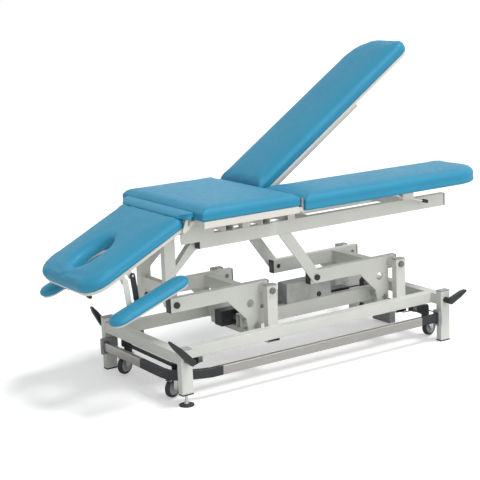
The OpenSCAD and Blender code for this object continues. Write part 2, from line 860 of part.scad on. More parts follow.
// control box on the tie bar, with a round knob
module control_box() {
    z = act_z + tie_h / 2;
    bevel = 8;
    color(grey) place() {
        difference() {
            block([0, -tie_y, z], [box_len, -tie_y + box_d, z + box_h]);
            for (x = [0, box_len]) translate([x, 0, z + box_h]) rotate([0, 45, 0])
                cube([bevel, 4 * box_d, bevel], center = true);
        }
        bar_y([box_len * 0.72, z + box_h * 0.2], -tie_y - plug_t, -tie_y, knob_d);
    }
}

// gear housing, motor, outer tube and gland of the lifting actuator
module actuator_body() {
    x0 = pivot_x - crank_dx;
    x1 = x0 + tie_past;
    color(grey) place() difference() {
        union() {
            block([x1 - gear_l, act_y - gear_w / 2, act_z - gear_h * 0.45],
                [x1, act_y + gear_w / 2, act_z + gear_h * 0.55]);
            bar_x(x1 - over, act_end - gland_l + over, [act_y, act_z], act_d);
            bar_x(x1 - over, x1 + motor_l, [act_y - act_d, act_z + plug_t], motor_d);
            block([act_end - gland_l, act_y - gland_w / 2, act_z - gland_w / 2],
                [act_end - gland_l * 0.4, act_y + gland_w / 2, act_z + gland_w / 2]);
            block([act_end - gland_l * 0.4 - over, act_y - gear_w / 2, act_z - gear_w / 2],
                [act_end, act_y + gear_w / 2, act_z + gear_w / 2]);
        }
        bar_x(bore_x, act_end + over, [act_y, act_z], rod_d + 2 * fit);
        bar_y([x0, act_z], act_y - gear_w, act_y + gear_w, pin_d + 2 * fit);
    }
}

// actuator rod with the eye that works on the anchor plates
module actuator_rod() {
    color(steel) place() {
        bar_x(rod_in, act_x - eye_w / 4, [act_y, act_z], rod_d);
        bar_y([act_x, act_z], act_y - eye_w / 2, act_y + eye_w / 2, eye_d);
    }
}

module upper_side_tubes() {
    color(paint) place()
        for (s = sides) tube_x(tube_x0, tube_x1, [s * tube_mid, tube_z + tube_h / 2], arm_w, tube_h);
}

module upper_end_plugs() {
    color(black) place()
        for (s = sides, e = [tube_x0 - plug_t, tube_x1])
            translate([e, s * tube_mid - arm_w / 2, tube_z]) cube([plug_t, arm_w, tube_h]);
}

// legs on the left knees with their struts, and slanted braces on the right knees
module upper_legs() {
    xl = knee_l + post_x / 2;
    w = post_x / 2;
    // the brace's sides touch the round end at the knee
    slope = atan2(tube_z - pivot_z, -brace_top_w / 2 - brace_top_x - 2 * w);
    side = [sin(slope) * w, -cos(slope) * w];
    color(paint) place() mirrored() {
        difference() {
            union() {
                translate([knee_l - post_x / 2, -leg_in - arm_w, pivot_z]) cube([post_x, arm_w,
                    leg_top - pivot_z]);
                bar_y([knee_l, pivot_z], -leg_in - arm_w, -leg_in, post_x);
                plate_y([[xl - over, strut_low], [tube_x0, tube_z - frame_end], [tube_x0 + link_l, tube_z],
                    [tube_x0 + link_l, tube_z + tube_h - frame_end], [tube_x0, tube_z + tube_h - frame_end],
                    [xl - over, strut_low + strut_h]], -leg_in - arm_w, -leg_in);
                block([tube_x0 + plug_t, -tube_out + arm_w, tube_z],
                    [tube_x0 + link_l, -leg_in - arm_w + over,
                    tube_z + tube_h - frame_end]);
            }
            bar_y([knee_l, pivot_z], -leg_in - arm_w - over, -leg_in + over, pin_d + 2 * fit);
        }
        difference() {
            union() {
                plate_y([[knee_r, pivot_z] - side, [knee_r, pivot_z] + side,
                    [knee_r - brace_top_x - 2 * w, tube_z],
                        [knee_r - brace_top_x - 2 * w - brace_top_w, tube_z]],
                    -tube_out, -brace_in);
                bar_y([knee_r, pivot_z], -tube_out, -brace_in, 2 * w);
            }
            bar_y([knee_r, pivot_z], -tube_out - over, -brace_in + over, pin_d + 2 * fit);
        }
    }
    color(paint) place() tube_y(-leg_in, leg_in, [knee_l, tray_z], arm_w, tray_h);
}

// cross tubes between the side tubes, and the supports of the middle frame on top of them
module upper_supports() {
    half = couch_w / 2 - frame_in - arm_w / 2;
    color(paint) place() {
        for (x = [tube_x0 + support_left, tube_x0 + support_right]) {
            tube_y(-half, half, [x, frame_z - support_h / 2], support_w, support_h);
            mirrored() tube_z(tube_z + tube_h, frame_z - support_h, [x, -tube_mid], support_w, arm_w);
        }
        for (x = [mid_x1 + tie_left, tube_x1 - tie_right])
            tube_y(-tube_mid + arm_w / 2, tube_mid - arm_w / 2, [x, tube_z + tube_h / 2], channel_w,
                channel_w);
    }
}

// steel frame and board under the middle pad
module middle_frame() {
    x0 = mid_x0 + frame_end;
    x1 = mid_x1 - frame_end;
    y = couch_w / 2 - frame_in;
    color(cream) place() difference() {
        block([x0, -y, frame_z], [x1, y, mid_z]);
        block([x0 + arm_w, -y + arm_w, frame_z - over], [x1 - arm_w, y - arm_w, mid_z - board]);
    }
}

fold = 25;
end_r = 12;

module middle_pad() {
    color(blue) place()
        cushion(mid_x0, mid_x1, -couch_w / 2, couch_w / 2, [end_r, end_r, end_r, end_r], mid_z, pad_t,
            fold, fold);
}

// an ear that holds a hinge pin at the height of the pads, s is the side of the frame it reaches out from
module ear(hx, hz, root_x, y, s, pin_from, pin_to) {
    w = ear_w / 2;
    plate_y([[root_x, frame_z + cap_t], [hx + s * w, frame_z + cap_t], [hx + s * w, hz + w],
        [hx - s * w, hz + w],
        [hx - s * w, mid_z - cap_t], [root_x, mid_z - cap_t]], y, y + ear_t);
    bar_y([hx, hz], pin_from, pin_to, hinge_d);
}

// hinge ears on the middle frame, half-round cheeks on the side tubes and lugs for the leg springs
module hinge_plates() {
    color(steel) place() mirrored() {
        intersection() {
            bar_y([cheek_x, cheek_z], -tube_out - cheek_t, -tube_out, 2 * cheek_r);
            block([cheek_x - cheek_r, -tube_out - cheek_t, cheek_z - cheek_base],
                [cheek_x + cheek_r, -tube_out, cheek_z + cheek_r]);
        }
        ear(head_hx, head_hz, mid_x0 + frame_end, -head_ear - ear_t, -1, -head_ear - ear_t - over,
            -head_ear + gap + arm_plate_t);
        for (y = [leg_ear_outer, leg_ear_inner])
            ear(leg_hx, leg_hz, mid_x1 - frame_end, -y - ear_t - gap, 1, -y - ear_t - over,
                -y + arm_plate_t);
        for (y = [-spring_y - spring_eye / 2 - play - spring_lug_t, -spring_y + spring_eye / 2 + play])
            block([leg_hx + spring_b[0] - spring_eye, y, tube_z + tube_h],
                [leg_hx + spring_b[0] + spring_eye, y + spring_lug_t,
                    leg_hz + spring_b[1] + spring_eye * 0.6]);
    }
}

// head section, drawn flat to the left of its hinge at the origin
module at_head() {
    place() translate([head_hx, 0, head_hz]) rotate([0, -head_drop, 0]) children();
}

head_under = head_over - head_t;
board_under = head_under - board;

module hole_cut(extra) {
    translate([-hole_s, 0, -head_len / 2]) scale([hole_len + extra, hole_w + extra, 1])
        cylinder(d = 1, h = head_len, $fn = 48);
}

module head_pad() {
    color(blue) at_head() difference() {
        cushion(-head_len, -head_start, -head_w / 2, head_w / 2,
            [head_r, head_root_r, head_root_r, head_r], head_under,
            head_t, 0, fold / 2);
        hole_cut(0);
    }
}

// flat outline with rounded ends for the boards, r is the radius at the free end
module board_outline(x0, x1, y0, y1, r) {
    translate([x0 + r, y0]) square([x1 - x0 - r, y1 - y0]);
    translate([x0, y0 + r]) square([r + over, y1 - y0 - 2 * r]);
    for (y = [y0 + r, y1 - r]) translate([x0 + r, y]) circle(r = r, $fn = 64);
}

// board and rails under the head pad, hinge arms and lugs for the armrest links
module head_frame() {
    half = head_w / 2 - board_in;
    e = ear_w * 0.4;
    color(cream) at_head() {
        difference() {
            translate([0, 0, board_under]) linear_extrude(board)
                board_outline(-head_len + board_in, -head_start - board_in, -half, half, head_r - board_in);
            translate([-hole_s, 0, board_under - over]) cylinder(d = hole_len - hole_lip,
                h = board + 2 * over, $fn = 64);
        }
        for (s = sides)
            translate([-head_len * 0.45, s * (head_rail_y + hole_w / 2) - head_rail / 2,
                board_under - head_rail])
                cube([head_len * 0.4, head_rail, head_rail + over]);
        mirrored() {
            difference() {
                union() {
                    plate_y([[-ear_w / 2, -ear_w / 2], [e, -e], [e, e], [-e, e],
                        [-ear_low - ear_w, board_under + board / 2],
                        [-ear_low - ear_w, board_under - cap_t], [-ear_low / 2, board_under - cap_t]],
                        -head_ear + gap, -head_ear + gap + arm_plate_t);
                    block([-ear_low - ear_w, -head_ear + gap, board_under - cap_t],
                        [-ear_low / 2, -half + ear_w, board_under + over]);
                }
                bar_y([0, 0], -head_ear - over, -head_ear + 2 * arm_plate_t, hinge_d + 2 * fit);
            }
            for (i = [0, 1]) translate([-lug_s + i * lug_step, 0, board_under - lug_drop]) {
                block([-lug_r, -half + over, -lug_r], [lug_r, -half + link_t + over, lug_drop + over]);
                bar_y([0, 0], -link_y - link_t - play, -half + 2 * over, link_pin);
                bar_y([0, 0], -link_y + gap, -half + 2 * over, link_pin * 1.6);
            }
        }
        translate([-handle_root, handle_y, board_under - handle_drop]) {
            for (s = sides)
                translate([-handle_eye, s * (handle_eye / 2 + gap) + (s < 0 ? -arm_plate_t : 0),
                    -handle_eye / 2])
                    cube([2 * handle_eye, arm_plate_t, handle_drop + handle_eye / 2 + over]);
            bar_y([0, 0], -handle_eye / 2 - arm_plate_t, handle_eye / 2 + arm_plate_t, handle_pin);
        }
    }
}

// release bar under the head end with a grip at each end
module head_handle() {
    z = board_under - handle_drop - grip_d / 2;
    color(steel) at_head() {
        bar_y([-handle_s, z], handle_y - handle_l / 2, handle_y + handle_l / 2, handle_d);
        for (s = sides) {
            translate([-handle_s, handle_y + s * handle_l / 2, z]) rotate([90 * s, 0, 0]) rotate([180, 0,
                0])
                cylinder(d = grip_d, h = grip_d * 1.5, $fn = 32);
        }
        rod_between([-handle_s, handle_y, z],
            [-handle_root - handle_pin, handle_y, board_under - handle_drop],
            handle_d * 0.8);
        translate([-handle_root, handle_y, board_under - handle_drop]) difference() {
            bar_y([0, 0], -handle_eye / 2, handle_eye / 2, handle_eye);
            bar_y([0, 0], -handle_eye, handle_eye, handle_pin + 2 * fit);
        }
    }
}

// leg sections are drawn for the front, flat to the right of the hinge at the origin
module at_leg(s) {
    place() translate([leg_hx, 0, leg_hz]) rotate([0, s > 0 ? -leg_raise : 0, 0]) on_side(s) children();
}

leg_under = leg_z - leg_hz;
leg_r_out = 150;
leg_r_in = 50;

module leg_pad(s) {
    color(blue) at_leg(s)
        cushion(leg_start, leg_start + leg_len, -couch_w / 2, -leg_gap / 2,
            [end_r, leg_r_out, leg_r_in, end_r],
            leg_under, pad_t, fold, 0);
}

// board and rails under a leg pad, hinge arms, spring lugs and lever bracket
module leg_frame(s) {
    x1 = leg_start + leg_len - leg_board_in;
    x0 = leg_start + fold / 2;
    y0 = -couch_w / 2 + leg_board_in;
    y1 = -leg_gap / 2 - leg_board_in;
    b = leg_under - board;
    color(cream) at_leg(s) {
        translate([0, 0, b]) linear_extrude(board) {
            translate([x0, y0]) square([x1 - x0 - leg_r_out, y1 - y0]);
            translate([x0, y0 + leg_r_out]) square([x1 - x0 - leg_r_in, y1 - y0 - leg_r_out]);
            translate([x0, y0 + leg_r_out]) square([x1 - x0, y1 - y0 - leg_r_out - leg_r_in]);
            translate([x1 - leg_r_out, y0 + leg_r_out]) circle(r = leg_r_out, $fn = 96);
            translate([x1 - leg_r_in, y1 - leg_r_in]) circle(r = leg_r_in, $fn = 64);
        }
        for (y = leg_rail_y)
            block([x0 + fold, -y - leg_rail / 2, b - leg_rail], [leg_rail_l, -y + leg_rail / 2, b + over]);
        for (y = [leg_ear_outer, leg_ear_inner])
            difference() {
                plate_y([[-ear_w * 0.4, b - cap_t], [x0 + 3 * fold, b - cap_t], [x0 + 3 * fold, b + over],
                    [ear_w * 0.4, b + over], [ear_w * 0.4, ear_w * 0.45], [-ear_w * 0.4, ear_w * 0.45]],
                    -y, -y + arm_plate_t);
                bar_y([0, 0], -y - over, -y + arm_plate_t + over, hinge_d + 2 * fit);
            }
        for (y = [-spring_y - spring_eye / 2 - play - spring_lug_t, -spring_y + spring_eye / 2 + play])
            block([spring_a[0] - spring_eye / 2, y, spring_a[1] - spring_eye / 2],
                [spring_a[0] + spring_eye / 2, y + spring_lug_t, b + over]);
        bar_y(spring_a, -spring_y - spring_eye / 2 - play - spring_lug_t,
            -spring_y + spring_eye / 2 + play + spring_lug_t, link_pin);
        for (y = [-lever_y - lever_lug_w / 2, -lever_y + lever_lug_w / 2 - spring_lug_t])
            block([lever_s - lever_lug_w, y, -lever_drop - link_pin],
                [lever_s + lever_lug_w, y + spring_lug_t, b + over]);
        bar_y([lever_s, -lever_drop], -lever_y - lever_lug_w / 2, -lever_y + lever_lug_w / 2, link_pin);
    }
}

// release lever under a leg section
module leg_lever(s) {
    color(steel) at_leg(s) translate([lever_s, -lever_y, -lever_drop]) rotate([0, lever_tilt, 0]) {
        difference() {
            bar_y([0, 0], -lever_d, lever_d, 2 * lever_d);
            bar_y([0, 0], -lever_in, lever_in, link_pin + 2 * fit);
        }
        translate([lever_d * 0.7, 0, 0]) rotate([0, 90, 0]) cylinder(d = lever_d, h = lever_out, $fn = 24);
        translate([-lever_d * 0.7, 0, 0]) rotate([0, -90, 0]) cylinder(d = lever_d, h = lever_in, $fn = 24);
        translate([lever_out, 0, 0]) rotate([0, 90, 0]) cylinder(d = lever_grip_d, h = lever_grip_l,
            $fn = 32);
    }
}

// gas spring of a leg section: its pin on the leg turns with the section, the other end stays on the frame
function turned(p, a) = [p[0] * cos(a) - p[1] * sin(a), p[0] * sin(a) + p[1] * cos(a)];
function spring_pin(s) = turned(spring_a, s > 0 ? leg_raise : 0);
function spring_len(s) = norm(spring_pin(s) - spring_b);
function spring_turn(s) = atan2(spring_b[1] - spring_pin(s)[1], spring_b[0] - spring_pin(s)[0]);

module at_spring(s) {
    p = spring_pin(s);
    place() translate([leg_hx + p[0], s * spring_y, leg_hz + p[1]]) rotate([0, -spring_turn(s),
        0]) children();
}

// cylinder with its eye on the leg's pin
module leg_spring(s) {
    color(black) at_spring(s) difference() {
        union() {
            bar_x(0, spring_cyl, [0, 0], spring_d);
            bar_y([0, 0], -spring_eye / 2, spring_eye / 2, spring_d);
        }
        bar_x(link_pin + spring_bottom, spring_cyl + over, [0, 0], spring_rod_d + 2 * fit);
        bar_y([0, 0], -spring_eye, spring_eye, link_pin + 2 * fit);
    }
}

module leg_spring_rod(s) {
    l = spring_len(s);
    color(steel) at_spring(s) {
        bar_x(l - spring_reach + play, l - spring_eye / 4, [0, 0], spring_rod_d);
        bar_y([l, 0], -spring_eye / 2, spring_eye / 2, spring_eye);
    }
}

// armrests hang on two parallel links; link pivots are given on the head frame and on the bracket
function head_point(p) = [head_hx, head_hz] + [p[0] * cos(head_drop) - p[1] * sin(head_drop),
    p[0] * sin(head_drop) + p[1] * cos(head_drop)];
function link_top(i) = head_point([-lug_s + i * lug_step, board_under - lug_drop]);
link_lean = 7;
link_down = [link_len * sin(link_lean), -link_len * cos(link_lean)];

module armrest_link(s, i) {
    a = link_top(i);
    color(i == 0 ? black : cream) place() on_side(s) difference() {
        union() {
            plate_y(strip([a, a + link_down], 2 * lug_r), -link_y - link_t + gap, -link_y);
            for (p = [a, a + link_down]) bar_y(p, -link_y - link_t + gap, -link_y, 2 * lug_r);
        }
        for (p = [a, a + link_down]) bar_y(p, -link_y - 2 * link_t, -link_y + link_t, link_pin + 2 * fit);
    }
}

module at_rest(s) {
    place() on_side(s) translate([rest_x, -rest_y, rest_z]) rotate([0, -rest_tilt, 0]) children();
}

// bracket under an armrest with the lower link pins
module armrest_bracket(s) {
    in = rest_y - link_y - link_t - play;
    low = [for (i = [0, 1]) link_top(i) + link_down - [rest_x, rest_z]];
    p = [for (q = low) turned(q, -rest_tilt)];
    r = rest_w / 2 - board_in;
    x0 = p[0][0] - 2 * lug_r;
    x1 = p[1][0] + 2 * lug_r;
    color(cream) at_rest(s) {
        block([x0, rest_w / 2 + gap, min(p[0][1], p[1][1]) - lug_r],
            [x1, in, max(p[0][1], p[1][1]) + lug_r]);
        block([x0, rest_w / 2 - 2 * board_in, -rest_t - board / 2], [x1, in, -rest_t - gap]);
        translate([0, 0, -rest_t - board / 2 - over / 2]) linear_extrude(board / 2) {
            translate([-rest_len / 2 + board_in + r, -r]) square([rest_len - 2 * board_in - 2 * r, 2 * r]);
            for (x = sides) translate([x * (rest_len / 2 - board_in - r), 0]) circle(r = r, $fn = 64);
        }
        for (q = p) bar_y(q, in - over, in + play + link_t + play, link_pin);
    }
}

module armrest_pad(s) {
    r = rest_w * 0.48;
    color(blue) at_rest(s)
        cushion(-rest_len / 2, rest_len / 2, -rest_w / 2, rest_w / 2, [r, r, r, r], -rest_t, rest_t, 0, 0);
}

module leg_frame_front() { leg_frame(-1); }
module leg_pad_front() { leg_pad(-1); }
module leg_lever_front() { leg_lever(-1); }
module leg_spring_front() { leg_spring(-1); }
module leg_spring_rod_front() { leg_spring_rod(-1); }
module leg_frame_rear() { leg_frame(1); }
module leg_pad_rear() { leg_pad(1); }
module leg_lever_rear() { leg_lever(1); }
module leg_spring_rear() { leg_spring(1); }
module leg_spring_rod_rear() { leg_spring_rod(1); }
module armrest_link_a_front() { armrest_link(-1, 0); }
module armrest_link_b_front() { armrest_link(-1, 1); }
module armrest_bracket_front() { armrest_bracket(-1); }
module armrest_pad_front() { armrest_pad(-1); }
module armrest_link_a_rear() { armrest_link(1, 0); }
module armrest_link_b_rear() { armrest_link(1, 1); }
module armrest_bracket_rear() { armrest_bracket(1); }
module armrest_pad_rear() { armrest_pad(1); }

posts();
post_caps();
cross_rails();
side_rails();
base_pins();
base_fittings();
levelling_foot();
foot_bar_rails();
foot_bar_ends();
pedals_head();
pedals_foot();
castor_arms_head();
castor_arms_foot();
castor_fork_head_front();
castor_fork_head_rear();
castor_fork_foot_front();
castor_fork_foot_rear();
castor_wheel_head_front();
castor_wheel_head_rear();
castor_wheel_foot_front();
castor_wheel_foot_rear();
left_arms();
left_arm_fittings();
left_arm_ends();
right_arms();
right_arm_fittings();
right_arm_ends();
tie_bar();
tie_rods();
control_box();
actuator_body();
actuator_rod();
upper_side_tubes();
upper_end_plugs();
upper_legs();
upper_supports();
middle_frame();
middle_pad();
hinge_plates();
head_frame();
head_pad();
head_handle();
leg_frame_front();
leg_pad_front();
leg_lever_front();
leg_spring_front();
leg_spring_rod_front();
leg_frame_rear();
leg_pad_rear();
leg_lever_rear();
leg_spring_rear();
leg_spring_rod_rear();
armrest_link_a_front();
armrest_link_b_front();
armrest_bracket_front();
armrest_pad_front();
armrest_link_a_rear();
armrest_link_b_rear();
armrest_bracket_rear();
armrest_pad_rear();
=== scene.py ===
"""Looks of the treatment couch: vinyl pads, coated tubes, plastic, steel and rubber, light and camera."""

import bmesh
import bpy
import numpy as np
from mathutils import Matrix, Vector


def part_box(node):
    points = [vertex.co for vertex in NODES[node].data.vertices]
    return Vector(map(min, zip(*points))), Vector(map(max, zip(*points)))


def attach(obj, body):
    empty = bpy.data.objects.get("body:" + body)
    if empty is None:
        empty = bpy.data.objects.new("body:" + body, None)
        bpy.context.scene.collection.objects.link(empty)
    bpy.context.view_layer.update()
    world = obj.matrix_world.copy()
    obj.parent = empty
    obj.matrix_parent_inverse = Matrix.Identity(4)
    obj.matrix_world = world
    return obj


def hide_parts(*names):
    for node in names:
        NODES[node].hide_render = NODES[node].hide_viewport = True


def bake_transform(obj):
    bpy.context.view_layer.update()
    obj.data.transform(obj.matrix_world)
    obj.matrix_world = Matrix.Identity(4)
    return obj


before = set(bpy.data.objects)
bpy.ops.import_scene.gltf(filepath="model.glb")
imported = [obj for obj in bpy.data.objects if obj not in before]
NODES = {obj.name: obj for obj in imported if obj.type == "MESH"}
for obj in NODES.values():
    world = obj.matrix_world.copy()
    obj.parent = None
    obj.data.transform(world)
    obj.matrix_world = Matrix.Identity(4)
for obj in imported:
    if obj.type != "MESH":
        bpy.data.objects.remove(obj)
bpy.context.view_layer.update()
SHIFT = 0.046305  # the frame's origin lies under the middle of the outline
HEAD_HINGE = (-0.575, 0, 0.735)
LEG_HINGE = (-0.084, 0, 0.735)
HEAD_DROP = 26.5
LEG_RAISE = {"front": 0, "rear": 34}


# Camera

def photo_camera():
    """Pinhole of 96.2 mm on a 36 mm frame, turned by yaw, pitch and roll from looking along +Y."""
    yaw, pitch, roll = np.radians([33.328, -12.1, -2.31])
    forward = Vector((np.sin(yaw) * np.cos(pitch), np.cos(yaw) * np.cos(pitch), np.sin(pitch)))
    level = Vector((np.cos(yaw), -np.sin(yaw), 0))
    upright = level.cross(forward)
    right = level * np.cos(roll) + upright * np.sin(roll)
    up = upright * np.cos(roll) - level * np.sin(roll)
    data = bpy.data.cameras.new("photo_camera")
    data.lens = 96.23
    data.sensor_width = 36
    data.clip_end = 100
    camera = bpy.data.objects.new("photo_camera", data)
    turn = Matrix((right, up, -forward)).transposed().to_4x4()
    eye = (-3.0834 + SHIFT, -4.4068, 1.6666)
    camera.matrix_world = Matrix.Translation(eye) @ turn
    bpy.context.scene.collection.objects.link(camera)
    bpy.context.scene.camera = camera


photo_camera()


# Materials

class Finish:
    """A node material with a Principled shader that reads Object coordinates."""

    def __init__(self, name, roughness=0.5, **sockets):
        self.material = bpy.data.materials.new(name)
        self.material.use_nodes = True
        self.tree = self.material.node_tree
        self.shader = self.tree.nodes["Principled BSDF"]
        self.shader.inputs["Roughness"].default_value = roughness
        for socket, value in sockets.items():
            self.shader.inputs[socket.replace("_", " ")].default_value = value
        self.place = self.add("ShaderNodeTexCoord").outputs["Object"]
        self.height = None

    def add(self, kind, **values):
        node = self.tree.nodes.new(kind)
        for name, value in values.items():
            setattr(node, name, value)
        return node

    def link(self, a, b):
        self.tree.links.new(a, b)

    def stretched(self, scale):
        node = self.add("ShaderNodeMapping")
        node.inputs["Scale"].default_value = scale
        self.link(self.place, node.inputs["Vector"])
        return node.outputs["Vector"]

    def noise(self, scale, detail=3.0, rough=0.5, where=None):
        node = self.add("ShaderNodeTexNoise")
        node.inputs["Scale"].default_value = scale
        node.inputs["Detail"].default_value = detail
        node.inputs["Roughness"].default_value = rough
        self.link(where or self.place, node.inputs["Vector"])
        return node.outputs["Fac"]

    def cells(self, scale, smooth=0.6):
        node = self.add("ShaderNodeTexVoronoi", feature="SMOOTH_F1")
        node.inputs["Scale"].default_value = scale
        node.inputs["Smoothness"].default_value = smooth
        self.link(self.place, node.inputs["Vector"])
        return node.outputs["Distance"]

    def colours(self, source, *stops):
        """Base colour from a ramp of (place, (r, g, b)) stops."""
        node = self.add("ShaderNodeValToRGB")
        ramp = node.color_ramp
        while len(ramp.elements) < len(stops):
            ramp.elements.new(0.5)
        for element, (place, colour) in zip(ramp.elements, stops):
            element.position = place
            element.color = (*colour, 1)
        self.link(source, node.inputs["Fac"])
        self.link(node.outputs["Color"], self.shader.inputs["Base Color"])

    def shine(self, source, low, high):
        """Roughness between low and high."""
        node = self.add("ShaderNodeMapRange")
        node.inputs["From Min"].default_value = 0.3
        node.inputs["From Max"].default_value = 0.7
        node.inputs["To Min"].default_value = low
        node.inputs["To Max"].default_value = high
        self.link(source, node.inputs["Value"])
        self.link(node.outputs["Result"], self.shader.inputs["Roughness"])

    def relief(self, source, strength, depth):
        """Bumps laid one on another."""
        node = self.add("ShaderNodeBump")
        node.inputs["Strength"].default_value = strength
        node.inputs["Distance"].default_value = depth
        self.link(source, node.inputs["Height"])
        if self.height:
            self.link(self.height, node.inputs["Normal"])
        self.height = node.outputs["Normal"]
        self.link(self.height, self.shader.inputs["Normal"])


def shades(colour, spread):
    """Three stops around a colour, darker to lighter by the spread."""
    c = np.array(colour)
    return [(0.3, tuple(c * (1 - spread))), (0.5, tuple(c)), (0.7, tuple(np.minimum(c * (1 + spread), 1)))]


def powder_coat(name, colour, rough=0.42):
    f = Finish(name, rough)
    f.colours(f.noise(7, 4), *shades(colour, 0.03))
    f.shine(f.noise(30, 3), rough - 0.05, rough + 0.08)
    f.relief(f.noise(900, 2), 0.12, 0.0004)
    return f.material


def plastic(name, colour, rough=0.45, grain=1400):
    f = Finish(name, rough)
    f.colours(f.noise(25, 4), *shades(colour, 0.15))
    f.shine(f.noise(60, 3), rough - 0.06, rough + 0.1)
    f.relief(f.cells(grain), 0.2, 0.0002)
    return f.material


def metal(name, colour, rough, streak=(1, 1, 1), spread=0.08, scale=60):
    f = Finish(name, rough, Metallic=1.0)
    lines = f.noise(scale, 5, 0.6, f.stretched(streak))
    f.colours(lines, *shades(colour, spread))
    f.shine(lines, rough * 0.75, rough * 1.35)
    f.relief(lines, 0.08, 0.0003)
    return f.material


def vinyl():
    """Blue upholstery vinyl: fine pebble grain, faint cloudiness and a soft satin shine."""
    f = Finish("blue_vinyl", 0.42)
    f.shader.inputs["Specular IOR Level"].default_value = 0.28
    f.colours(f.noise(4, 3), *shades((0.028, 0.265, 0.43), 0.03))
    f.shine(f.noise(40, 3), 0.4, 0.5)
    f.relief(f.cells(1100, 0.8), 0.25, 0.0004)
    f.relief(f.noise(2600, 2), 0.15, 0.0002)
    return f.material


PAINT = powder_coat("cream_powder_coat", (0.62, 0.63, 0.585))
BOARD = powder_coat("painted_board", (0.68, 0.66, 0.60), 0.5)
CAP = plastic("cap_plastic", (0.33, 0.34, 0.34), 0.45)
BLACK = plastic("black_plastic", (0.018, 0.019, 0.022))
# Grey plastic, also used as painted shade on the control box's left end and on the hinge parts between the
# pads.
GREY_AND_SHADE = plastic("grey_plastic", (0.26, 0.27, 0.28))
BOX = plastic("light_box_plastic", (0.40, 0.41, 0.39), 0.4, 900)
TYRE = plastic("tyre_rubber", (0.022, 0.022, 0.024), 0.6, 700)
HUB = plastic("wheel_disc_plastic", (0.30, 0.31, 0.32), 0.4)
CABLE = plastic("cable_sheath", (0.025, 0.025, 0.027), 0.5)
ZINC = metal("zinc_plate", (0.60, 0.61, 0.62), 0.34)
BOLT = metal("dark_bolts", (0.22, 0.22, 0.22), 0.4)
CHROME = metal("chrome_rod", (0.74, 0.75, 0.77), 0.12, spread=0.03)
ALUMINIUM = metal("drawn_aluminium", (0.43, 0.42, 0.40), 0.36, (1, 40, 40), 0.06, 12)
ROD = metal("ground_rod", (0.55, 0.55, 0.56), 0.2, (60, 1, 1), 0.05, 10)
VINYL = vinyl()


# Tubes, plates and mouldings from the frame

def rounded(node, width):
    """Small rounding on a node's edges: its loose triangles are welded and joined where they are flat, then
    edges over 35 degrees get an arc."""
    obj = NODES[node]
    obj.data.polygons.foreach_set("use_smooth", np.ones(len(obj.data.polygons), bool))
    weld = obj.modifiers.new("weld", "WELD")
    weld.merge_threshold = 1e-5
    flat = obj.modifiers.new("flat_faces", "DECIMATE")
    flat.decimate_type = "DISSOLVE"
    flat.angle_limit = np.radians(0.5)
    flat.delimit = {"MATERIAL"}
    bevel = obj.modifiers.new("edge_round", "BEVEL")
    bevel.width = width
    bevel.segments = 2
    bevel.limit_method = "ANGLE"
    bevel.angle_limit = np.radians(35)
    bevel.harden_normals = True
    obj.modifiers.new("even_shade", "WEIGHTED_NORMAL").keep_sharp = True


def finished(node, *materials):
    """The node's finishes in the order of its face groups."""
    mesh = NODES[node].data
    mesh.materials.clear()
    for material in materials:
        mesh.materials.append(material)


def centres(node):
    """Middle of every face of a node, in the row frame."""
    mesh = NODES[node].data
    out = np.empty(len(mesh.polygons) * 3)
    mesh.polygons.foreach_get("center", out)
    return out.reshape(-1, 3)


def grouped(node, groups):
    """Which of the node's finishes each face has."""
    mesh = NODES[node].data
    mesh.polygons.foreach_set("material_index", np.asarray(groups, np.int32))
    mesh.update()


CORNERS = ["head_front", "head_rear", "foot_front", "foot_rear"]
SIDES = ["front", "rear"]
DISC_R = 0.0285

FINISHES = {
    "posts": (PAINT, 0.0018), "cross_rails": (PAINT, 0.002),
    "side_rails": (PAINT, 0.002), "base_pins": (BOLT, 0.0008), "foot_bar_rails": (ALUMINIUM, 0.003),
    "foot_bar_ends": (BLACK, 0.003), "pedals_head": (BLACK, 0.0025), "pedals_foot": (BLACK, 0.0025),
    "castor_arms_head": (BLACK, 0.0015), "castor_arms_foot": (BLACK, 0.0015), "left_arms": (PAINT, 0.002),
    "left_arm_fittings": (PAINT, 0.0012), "left_arm_ends": (BLACK, 0.001), "right_arms": (PAINT, 0.002),
    "right_arm_fittings": (PAINT, 0.0012), "right_arm_ends": (BLACK, 0.001), "tie_bar": (PAINT, 0.002),
    "tie_rods": (ZINC, 0.0008), "actuator_rod": (ROD, 0.0008),
    "upper_side_tubes": (PAINT, 0.0018), "upper_end_plugs": (BLACK, 0.001), "upper_legs": (PAINT, 0.0015),
    "upper_supports": (PAINT, 0.0015), "middle_frame": (BOARD, 0.0015),
    "head_frame": (BOARD, 0.0012),
}
for side in SIDES:
    FINISHES.update({
        "leg_frame_" + side: (BOARD, 0.0015), "leg_spring_rod_" + side: (ROD, 0.0005),
        "armrest_link_a_" + side: (BOARD, 0.0008), "armrest_link_b_" + side: (BLACK, 0.0008),
        "armrest_bracket_" + side: (PAINT, 0.0008), "leg_spring_" + side: (BLACK, 0.0008),
    })
for corner in CORNERS:
    FINISHES["castor_fork_" + corner] = (ZINC, 0.0006)

for node, (material, width) in FINISHES.items():
    finished(node, material)
    rounded(node, width)


def wheels():
    """Black tyre round a grey disc, told apart by their distance from the axle in the plane of the fork."""
    for corner in CORNERS:
        node = "castor_wheel_" + corner
        low, high = map(np.array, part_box(node))
        middle = (low + high) / 2
        x, y, z = (centres(node) - middle).T
        fork = centres("castor_fork_" + corner)
        along = middle[:2] - (fork.min(0)[:2] + fork.max(0)[:2]) / 2
        along /= max(np.linalg.norm(along), 1e-6)
        finished(node, HUB, TYRE)
        grouped(node, np.hypot(z, x * along[0] + y * along[1]) > DISC_R)
        rounded(node, 0.0008)


